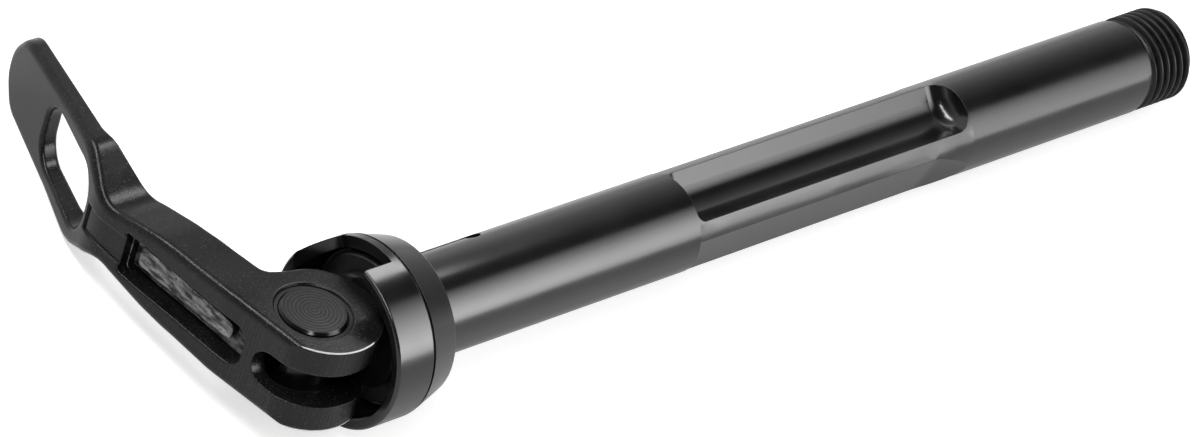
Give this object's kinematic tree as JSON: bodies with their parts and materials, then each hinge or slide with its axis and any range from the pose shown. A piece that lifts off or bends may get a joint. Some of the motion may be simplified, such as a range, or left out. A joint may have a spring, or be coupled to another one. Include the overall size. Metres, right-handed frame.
{
  "type": "quick-release thru axle",
  "caption": "Bicycle thru axle: fluted tube with a threaded end, and a slit expanding head with a cup shaped collar and a forked cam lever.",
  "frame": {"origin": "on the tube's axis, in the plane of the flange face that seats against the fork leg", "axes": "+X along the tube to the threaded end, +Y the way the closed lever points, +Z along the cross pin"},
  "size_m": [0.1882, 0.0811, 0.0268],
  "materials": {
    "anodised_body": "satin black anodised",
    "blasted_lever": "fine blasted, black anodised",
    "turned_pin": "turned, blackened",
    "bush_polymer": "plain bearing polymer",
    "rod_steel": "drawn steel",
    "follower_polymer": "hard polymer",
    "wedge_steel": "turned, blackened",
    "seal_rubber": "smooth rubber",
    "spring_steel": "spring steel",
    "anodised_nut": "satin anodised"
  },
  "bodies": {
    "shaft": {"axle_shaft": "anodised_body", "return_spring": "spring_steel", "shoulder_spring_washer": "spring_steel", "adjuster_seat_washer": "spring_steel", "disc_spring_inner": "spring_steel", "disc_spring_outer": "spring_steel", "adjuster_thrust_washer": "spring_steel", "adjuster_clip": "spring_steel"},
    "expander": {"expander_wedge": "wedge_steel", "wedge_o_ring": "seal_rubber", "wedge_spring_washer": "spring_steel"},
    "follower": {"cam_follower": "follower_polymer"},
    "head": {"pivot_barrel": "turned_pin", "draw_rod": "rod_steel", "rod_lock_screw": "rod_steel"},
    "lever_body": {"lever": "blasted_lever", "ear_bush_upper": "bush_polymer", "ear_bush_lower": "bush_polymer"},
    "adjuster": {"adjuster_nut": "anodised_nut", "adjuster_o_ring": "seal_rubber"}
  },
  "joints": [
    {"name": "head_swivel", "type": "hinge", "parent": "shaft", "child": "head", "pos_m": [0, 0, 0], "axis": [1, 0, 0], "continuous": true},
    {"name": "lever_pivot", "type": "hinge", "parent": "head", "child": "lever_body", "pos_m": [-0.0181, 0, 0], "axis": [0, 0, 1], "range_deg": [0, 150]},
    {"name": "expander_slide", "type": "slide", "parent": "shaft", "child": "expander", "axis": [1, 0, 0], "range_m": [-0.0007, 0]},
    {"name": "follower_slide", "type": "slide", "parent": "head", "child": "follower", "axis": [1, 0, 0], "range_m": [-0.0007, 0]},
    {"name": "adjuster_turn", "type": "hinge", "parent": "head", "child": "adjuster", "pos_m": [0.147, 0, 0], "axis": [1, 0, 0], "range_deg": [-180, 180]}
  ],
  "couplings": [
    {"joint": "expander_slide", "follows": "lever_pivot", "m_per_rad": -0.000267},
    {"joint": "follower_slide", "follows": "lever_pivot", "m_per_rad": -0.000267}
  ]
}
